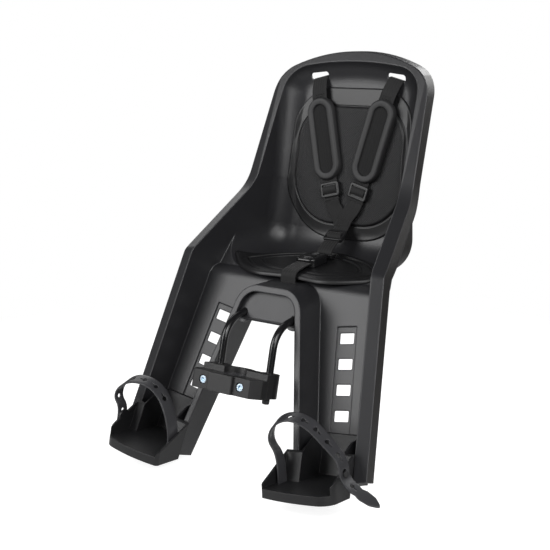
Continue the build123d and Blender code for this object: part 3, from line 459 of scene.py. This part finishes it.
back_hub = np.array([0, 135.0])
back_edge = rounded([(110, 25), (-110, 25), (-99, 245), (99, 245)], [80, 80, 60, 60], 1.8)
back_panel = facing_line(back_edge, back_hub,
                         rounded([(97, 47), (-97, 47), (-92, 217), (92, 217)], [68, 68, 52, 52], 1.0))
back_rings = np.concatenate([np.linspace(1, 0.5, 26), 0.5 - np.linspace(0.004, 0.7, 40) ** 1.3 * 0.79])


def back_height(flat, share):
    """A border that rises to a pressed line, and a raised, slightly crowned panel inside it."""
    band = np.linalg.norm(back_edge - back_panel, axis=1)
    rise = np.clip((1 - share[:, :, 0]) * 2, 0, 1)
    depth = np.clip(0.5 - share[:, :, 0], 0, 1) * 2 * np.linalg.norm(back_panel - back_hub, axis=1)
    border = 0.6 + 1.6 * swell(rise * band, 2.5) + 3.0 * rise ** 1.5
    field = 6.0 + 2.0 * swell(depth, 3) + 1.2 * np.clip(depth / 80, 0, 1)
    thick = np.where(share[:, :, 0] < 0.5, field, border)
    return thick - 1.6 * notch((1 - rise) * band, 0.8, 1.1)


laid_pad("back_pad_foam", back_edge, back_hub, on_back, back_height, [foam_mat, mesh_mat],
         lambda share: share < 0.485, "back_pad", rest_out, back_rings, back_panel)


def leaf():
    """Outline of the seat pad: two shallow lobes in front, a deep arc behind, meeting in two tips."""
    tip, tip_y = 131, 74
    half = [(24, 33), (56, 28), (93, 45), (tip, tip_y)]
    front = smoothed([(-x, y) for x, y in reversed(half)] + [(0, 36)] + half)
    sag = 154 - tip_y
    rad = (tip ** 2 + sag ** 2) / (2 * sag)
    x = np.linspace(tip, -tip, 80)
    rear = np.stack([x, 154 - rad + np.sqrt(rad ** 2 - x ** 2)], axis=1)
    return even(np.vstack([front[:-1], rear[:-1]]), 1.8)


seat_hub = np.array([0, 92.0])
seat_edge = leaf()


def seat_height(flat, share):
    """Rounded edge, two pressed leaf lines inside it, and a crowned middle."""
    reach = np.linalg.norm(seat_edge - seat_hub, axis=1)
    share = share[:, :, 0]
    rim = depth_in(flat.reshape(-1, 2), seat_edge).reshape(flat.shape[:2])
    thick = 0.5 + 6.0 * swell(rim, 6) + 1.0 * np.clip((rim - 8) / 30, 0, 1)
    for line in (0.83, 0.64):
        beside = (share - line) * reach
        thick += 1.1 * notch(beside, 2.9, 1.5) - 2.4 * notch(beside, 0, 1.3)
    return thick


laid_pad("seat_pad_foam", seat_edge, seat_hub, on_pan, seat_height, [foam_mat],
         lambda share: share < 0, "seat_pad", (0, 0, 1), 1 - np.linspace(0, 1, 84) ** 1.1 * 0.985)


# Webbing
SECTION = ((-1, 0.25), (-0.985, 0.7), (-0.95, 0.95), (-0.82, 1.04), (-0.5, 1), (0, 0.98), (0.5, 1),
           (0.82, 1.04), (0.95, 0.95), (0.985, 0.7), (1, 0.25))


def band(points, side, width, thick, step=2.0):
    """Vertices, faces and lengths of a woven band along points; side is its width direction."""
    line = even(np.array([tuple(p) for p in points], float), step, closed=False)
    run = np.gradient(line, axis=0)
    run /= np.linalg.norm(run, axis=1)[:, None]
    edge = np.tile(np.array(side, float), (len(line), 1))
    edge -= run * np.sum(edge * run, axis=1)[:, None]
    edge /= np.linalg.norm(edge, axis=1)[:, None]
    face = np.cross(edge, run)
    loop = [(a, b) for a, b in SECTION] + [(a, -b) for a, b in reversed(SECTION)]
    reach = np.concatenate([[0], np.cumsum(np.linalg.norm(np.diff(line, axis=0), axis=1))])
    verts, uvs, faces = [], [], []
    size = len(loop)
    for p, e, f, u in zip(line, edge, face, reach):
        for a, b in loop:
            verts.append(p + e * (a * width / 2) + f * (b * thick / 2))
            uvs.append((u, a * width / 2 + 100))
    for k in range(len(line) - 1):
        for i in range(size):
            j = (i + 1) % size
            faces.append((k * size + i, k * size + j, (k + 1) * size + j, (k + 1) * size + i))
    faces += [tuple(range(size)), tuple(range((len(line) - 1) * size, len(line) * size))]
    return verts, faces, uvs


def joined(*parts):
    """Several bands as one mesh."""
    verts, faces, uvs = [], [], []
    for v, f, u in parts:
        shift = len(verts)
        verts += list(v)
        uvs += list(u)
        faces += [tuple(i + shift for i in face) for face in f]
    return verts, faces, uvs


def bar(mid, run, out, half, wide, high):
    """A small closed bar with rounded ends along a direction."""
    side = run.cross(out)
    verts = []
    for along, grow in ((-half, 0.3), (-half + 0.5, 1.0), (half - 0.5, 1.0), (half, 0.3)):
        for ang in np.arange(8) * math.pi / 4:
            spoke = side * math.cos(ang) * wide + out * math.sin(ang) * high
            verts.append(mid + run * along + spoke * grow)
    faces = [(k + i, k + (i + 1) % 8, k + 8 + (i + 1) % 8, k + 8 + i)
             for k in (0, 8, 16) for i in range(8)]
    return verts, faces + [tuple(range(8)), tuple(range(24, 32))], [(0, 0)] * 32


def stitched(rows):
    """Thread stitches along rows of (start, end, face direction), each a small sunk bar."""
    pitch = 3.2
    bars = []
    for start, end, out in rows:
        out = Vector(out).normalized()
        run = (end - start).normalized()
        for k in range(int((end - start).length / pitch)):
            bars.append(bar(start + run * (pitch * (k + 0.5)), run, out, 1.3, 0.42, 0.3))
    return joined(*bars)


WIDE, THICK = 25.0, 1.6
SLOT_X, SLOT_Z = 66, 261.5      # slot in the back, from the middle plane and the datum
slot_along = SLOT_Z / math.cos(rest_lean)
strap_x, strap_up = -0.2408, -0.9706    # way down a strap, across and along the back panel


def on_strap(hand, reach, aside, out):
    """A point on a shoulder strap: down from its slot, across it, and out from the back panel."""
    return rest(hand * (SLOT_X + strap_x * reach - strap_up * aside),
                slot_along + strap_up * reach + strap_x * aside, out)


def shoulder_strap(hand, word):
    """The webbing from its slot to the yoke, with its loop over the slider's bar."""
    lie = (on_strap(hand, 0, 1, 0) - on_strap(hand, 0, 0, 0)).normalized()
    route = smoothed([on_strap(hand, s, 0, d) for s, d in
                      ((18, -8.0), (2.2, -8.0), (2.2, 1.5), (9, 4.2), (26, 11.6), (60, 11.8), (150, 11.8),
                       (161, 11.3), (171.9, 11.8), (182, 11.9), (188.4, 11.8))])
    over = smoothed([on_strap(hand, s, 0, d) for s, d in
                     ((166, 12.2), (167.2, 15.4), (171.9, 17.4), (176.6, 15.4), (177.8, 12.2))])
    verts, faces, uvs = joined(band(route, lie, WIDE, THICK), band(over, lie, WIDE - 1.5, THICK, 1.0))
    piece("shoulder_webbing_" + word, verts, faces, [web_mat], "seat",
          "shoulder_strap_" + word, uvs)


def shoulder_pad(hand, word):
    """A soft ring on the strap, round a window in which webbing shows, painted darker as shade."""
    middle, low = 96, 9.8       # down the strap, and out from the back panel
    half, rad, window = 39.0, 23.0, 10.9
    side = [(rad, b) for b in np.linspace(-half, half, 40)]
    bend = [(rad * math.cos(t), half + rad * math.sin(t)) for t in np.linspace(0, math.pi, 37)[1:-1]]
    ring = np.array(side + bend)
    ring = np.vstack([ring, -ring])
    spine = np.stack([np.zeros(len(ring)), np.clip(ring[:, 1], -half, half)], axis=1)
    factor = 1 - np.concatenate([np.linspace(0, 0.52, 31), [0.7, 0.85, 1.0]])
    spots = spine + (ring - spine) * factor[:, None, None]
    rows, count = len(factor), len(ring)
    rim = depth_in(spots.reshape(-1, 2), ring)
    lift = 0.5 + 7.0 * swell(rim, 3.2) + 0.8 * np.sin(np.clip(rim / 11, 0, 1) * math.pi)
    lift = (lift - 2.8 * np.clip((rim - 10.6) / 1.0, 0, 1)).reshape(rows, count)
    under = np.full((rows, count), 0.15)
    under[0] = 0
    verts, uvs, faces, kinds = [], [], [], []
    for flat, height in ((spots, lift), (spots[::-1], under)):
        for (a, b), h in zip(flat.reshape(-1, 2), height.ravel()):
            verts.append(on_strap(hand, middle - b, a, low + h))
            uvs.append((b + 200, a + 100))
    for k in range(2 * rows):
        if k == rows - 1:
            continue
        ahead = (k + 1) % (2 * rows)
        for i in range(count):
            j = (i + 1) % count
            faces.append((k * count + i, k * count + j, ahead * count + j, ahead * count + i))
            kinds.append(int(k < rows - 1 and rad * (1 - factor[k]) > window))
    # the webbing inside the window takes the darker copy, painted shade for the recess
    pad = piece("shoulder_pad_ring_" + word, verts, faces, [ring_mat, window_web_painted_shade_mat], "seat",
                "shoulder_pad_" + word, uvs, kinds, True)


SEAM = 9                        # half a row of stitches
threads = []
for hand, word in ((1, "right"), (-1, "left")):
    shoulder_strap(hand, word)
    for s in (30, 33.2):
        threads.append((on_strap(hand, s, -SEAM, 12.7), on_strap(hand, s, SEAM, 12.7), rest_out))
    shoulder_pad(hand, word)

# Yoke, centre strap and crotch strap
pan = math.radians(5)
pan_way = Vector((0, math.cos(pan), math.sin(pan)))
pan_lift = Vector((0, -math.sin(pan), math.cos(pan)))
buckle_y = 88
buckle_foot = datum + Vector((0, buckle_y, pan_level(buckle_y))) + pan_lift * 8.4


def at_buckle(along, out, x=0.0):
    """A point on the buckle's own plane."""
    return buckle_foot + across * x + pan_way * along + pan_lift * out


arms = []
for hand, lift in ((1, 12.7), (-1, 11.0)):
    route = smoothed([on_strap(hand, 187.5, 0, 11.9), on_strap(hand, 196, 0, lift),
                      rest(hand * 9, 62, lift), rest(hand * 2, 48, lift), rest(0, 42, lift)])
    arms.append(band(route, across, WIDE - 1, THICK, 1.5))
high, low = rest(0, 40, 12.8), at_buckle(33, 12)
drop = smoothed([rest(0, 62, 10.6), rest(0, 50, 11.2), high, high * 0.6 + low * 0.4, low,
                 at_buckle(31, 2), at_buckle(42, 2)])
fall = (low - high).normalized()
face = across.cross(-fall).normalized()
slide = high + fall * 16.5
hump = smoothed([slide + fall * along + face * out for along, out in
                 ((-6, 0.6), (-4.8, 3.6), (0, 5.5), (4.8, 3.6), (6, 0.6))])
verts, faces, uvs = joined(*arms, band(drop, across, WIDE, THICK, 1.5),
                           band(hump, across, WIDE - 1.5, THICK, 1.0))
piece("centre_webbing", verts, faces, [web_mat], "seat", "centre_strap", uvs)
for start, end in ((58, 58), (47, 47), (47, 58), (58, 47)):
    threads.append((rest(-SEAM, start, 13.6), rest(SEAM, end, 13.6), rest_out))

crotch = smoothed([at_buckle(-14, 6)] + [datum + Vector((0, y, z)) for y, z in
                                         ((46, 3), (31, -1.5), (30, -12), (30, -31), (39, -31.2))])
verts, faces, uvs = band(crotch, across, WIDE, THICK, 1.5)
piece("crotch_webbing", verts, faces, [web_mat], "seat", "crotch_strap", uvs)
for along, out in ((-24, 4.4), (-28, 4.0)):
    threads.append((at_buckle(along, out, -SEAM), at_buckle(along, out, SEAM), (0, -0.1, 1)))
verts, faces, _ = stitched(threads)
piece("harness_stitches", verts, faces, [web_mat], "seat")

# Finger ribs on the buckle, before and behind its button
ribs = ((-16, 8.5), (-13.5, 9.5), (7.5, 10.5), (10, 10.5), (12.5, 10), (15, 9))
verts, faces, _ = joined(*(bar(at_buckle(along, 12.0), across, pan_lift, half, 0.75, 0.7)
                           for along, half in ribs))
piece("buckle_ribs", verts, faces, [gloss_mat], "seat")

# Rubber foot straps: cut flat with keyholes and a leaf-shaped tail, then bent round the route
tray_x = Vector((0.99357, 0, 0.11320))
tray_z = Vector((-0.11292, 0.06931, 0.99115))
tray_y = tray_z.cross(tray_x)
tray_foot = Vector((138.35, 40.07, -109.0))


def flat_strap(name, length, holes, tail):
    """A flat rubber strip with keyholes, as a mesh sliced for bending."""
    curve = bpy.data.curves.new(name, "CURVE")
    curve.dimensions = "2D"
    curve.fill_mode = "BOTH"
    curve.extrude, curve.bevel_depth, curve.bevel_resolution = 0.00085, 0.0004, 1
    half = 8.6
    hole, slit_end, slit = 3.6, 9.0, 1.3
    if tail:
        edge = [(0, half), (length - 40, half), (length - 33, half * 0.8), (length - 26, half),
                (length - 12, half * 0.8), (length - 3, half * 0.3), (length, 0)]
    else:
        edge = [(0, half), (length - 6, half), (length, half - 5)]
    rows = [[(x, -y) for x, y in edge] + [(x, y) for x, y in reversed(edge) if y > 0]]
    for spot in holes:
        ring = [(spot + hole * math.cos(t), hole * math.sin(t))
                for t in np.linspace(0.4, 2 * math.pi - 0.4, 16)]
        rows.append(ring + [(spot + slit_end, -slit), (spot + slit_end, slit)])
    for row in rows:
        spline = curve.splines.new("POLY")
        spline.points.add(len(row) - 1)
        for p, (x, y) in zip(spline.points, row):
            p.co = (x * 0.001, y * 0.001, 0, 1)
        spline.use_cyclic_u = True
    holder = bpy.data.objects.new(name + "_cut", curve)
    scene.collection.objects.link(holder)
    bpy.context.view_layer.update()
    mesh = bpy.data.meshes.new_from_object(holder.evaluated_get(bpy.context.evaluated_depsgraph_get()))
    bpy.data.objects.remove(holder)
    bpy.data.curves.remove(curve)
    bm = bmesh.new()
    bm.from_mesh(mesh)
    bmesh.ops.remove_doubles(bm, verts=bm.verts, dist=0.00002)
    for x in np.arange(2, length, 2.0):
        bmesh.ops.bisect_plane(bm, geom=bm.verts[:] + bm.edges[:] + bm.faces[:], dist=1e-6,
                               plane_co=(x * 0.001, 0, 0), plane_no=(1, 0, 0))
    bmesh.ops.dissolve_degenerate(bm, edges=bm.edges, dist=0.00002)
    bm.to_mesh(mesh)
    bm.free()
    return mesh


def foot_strap(name, hand, points, first, tail, lean):
    """A rubber strap over the instep, on its route in the tray's cross plane.

    It leans along the tray by the degrees given at shares of its length.
    """
    plane = tray_foot - tray_y * 60
    line = smoothed([(plane + tray_x * x + tray_z * z) for x, z in points], 3)
    line = even(line, 1.0, closed=False)
    run = np.concatenate([[0], np.cumsum(np.linalg.norm(np.diff(line, axis=0), axis=1))])
    total = run[-1]
    pitch, bare_end = 21.5, 44 if tail else 14
    holes = np.arange(first, total - bare_end, pitch)
    mesh = flat_strap(name, total, holes, tail)
    way = np.gradient(line, axis=0)
    way /= np.linalg.norm(way, axis=1)[:, None]
    out = np.cross(np.array(tray_y), way)
    spots = np.empty(len(mesh.vertices) * 3)
    mesh.vertices.foreach_get("co", spots)
    spots = spots.reshape(-1, 3) * 1000
    at = np.stack([np.interp(spots[:, 0], run, line[:, k]) for k in range(3)], axis=1)
    face = np.stack([np.interp(spots[:, 0], run, out[:, k]) for k in range(3)], axis=1)
    tilt = np.radians(np.interp(spots[:, :1] / total, *zip(*lean)))
    broad = np.array(tray_y) * np.cos(tilt) - face * np.sin(tilt)
    deep = face * np.cos(tilt) + np.array(tray_y) * np.sin(tilt)
    place = at + broad * spots[:, 1:2] + deep * spots[:, 2:3]
    if hand < 0:
        place[:, 0] *= -1
    mesh.vertices.foreach_set("co", (place * 0.001).ravel())
    mesh.materials.clear()
    mesh.materials.append(rubber_mat)
    bm = bmesh.new()
    bm.from_mesh(mesh)
    bmesh.ops.recalc_face_normals(bm, faces=bm.faces)
    bm.to_mesh(mesh)
    bm.free()
    obj = bpy.data.objects.new(name, mesh)
    scene.collection.objects.link(obj)
    mesh.polygons.foreach_set("use_smooth", [True] * len(mesh.polygons))
    mesh.set_sharp_from_angle(angle=math.radians(50))
    word = "right" if hand > 0 else "left"
    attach(obj, word + "_footrest")
    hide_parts("foot_strap_" + word)
    return obj


foot_strap("foot_strap_rubber_right", 1,
           [(-42.75, -10), (-42.75, 36), (-60, 55), (-50, 78), (-24, 89), (6, 81), (32, 58), (53.85, 38),
            (53.85, 11), (104, -13)], 74, True,
           ((0, 0), (0.12, 4), (0.34, 24), (0.52, 32), (0.66, 22), (0.76, 5), (0.82, 8), (1, 34)))
foot_strap("foot_strap_rubber_left", -1,
           [(-42.75, -10), (-42.75, 28), (-28, 61), (-10, 79), (14, 85), (40, 81), (62, 64), (66, 46),
            (53.85, 36), (53.85, 8)], 84, False,
           ((0, 0), (0.12, 4), (0.4, 24), (0.6, 26), (0.8, 8), (0.92, 2), (1, 0)))

# Floor: a pale disc that fades into the white background
floor_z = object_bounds()[0][2] - 0.002
mesh = bpy.data.meshes.new("floor")
bm = bmesh.new()
bmesh.ops.create_circle(bm, cap_ends=True, segments=96, radius=1.1)
bm.to_mesh(mesh)
bm.free()
floor = bpy.data.objects.new("floor", mesh)
floor.location = (0, 0.1, floor_z)
paper = Shader("floor_white")
reach = paper.node("VectorMath", {0: paper.place["Object"]}, operation="LENGTH").outputs["Value"]
fade = paper.ramp(reach, 0.0, 1.0, 0.35, 1.0)
seen = paper.node("LightPath").outputs["Is Camera Ray"]
glow = paper.calc("MULTIPLY", paper.ramp(fade, 0.86, 1.0), paper.ramp(seen, 0.18, 1.0))
paper.fill(paper.bsdf, {"Base Color": paper.ramp(fade, 0.5, 0.0), "Emission Color": (1, 1, 1, 1),
                        "Emission Strength": glow, "Roughness": 1.0, "Specular IOR Level": 0.0})
floor.data.materials.append(paper.mat)
scene.collection.objects.link(floor)

# Light: a large soft box ahead, two at the right, two behind, and a dim room before a white background
world = bpy.data.worlds.new("studio")
world.use_nodes = True
wt = world.node_tree
room = wt.nodes["Background"]
room.inputs["Color"].default_value = (1, 1, 1, 1)
room.inputs["Strength"].default_value = 0.03
sky = wt.nodes.new("ShaderNodeBackground")
sky.inputs["Color"].default_value = (1, 1, 1, 1)
sky.inputs["Strength"].default_value = 1.0
seen = wt.nodes.new("ShaderNodeLightPath")
mix = wt.nodes.new("ShaderNodeMixShader")
wt.links.new(seen.outputs["Is Camera Ray"], mix.inputs[0])
wt.links.new(room.outputs[0], mix.inputs[1])
wt.links.new(sky.outputs[0], mix.inputs[2])
wt.links.new(mix.outputs[0], wt.nodes["World Output"].inputs[0])
scene.world = world


def area(name, spot, aim, size, power):
    """A soft box light aimed at a point."""
    data = bpy.data.lights.new(name, "AREA")
    data.shape = "RECTANGLE"
    data.size, data.size_y = size
    data.energy = power
    lamp = bpy.data.objects.new(name, data)
    lamp.location = spot
    lamp.rotation_euler = (Vector(aim) - Vector(spot)).to_track_quat("-Z", "Y").to_euler()
    scene.collection.objects.link(lamp)


seat_middle = (0, 0.1, 0.17)
area("key", (-1.1, -1.65, 1.0), seat_middle, (1.4, 1.4), 34)
area("second", (1.5, -1.5, 1.9), seat_middle, (1.0, 1.0), 30)
area("side", (1.9, -0.6, 0.9), seat_middle, (1.2, 1.2), 18)
area("far_side", (-1.4, 0.9, 1.2), seat_middle, (0.9, 1.2), 6)
area("rear", (0.3, 2.1, 1.2), (0, 0.2, 0.15), (1.6, 1.2), 34)
scene.view_settings.view_transform = "Standard"
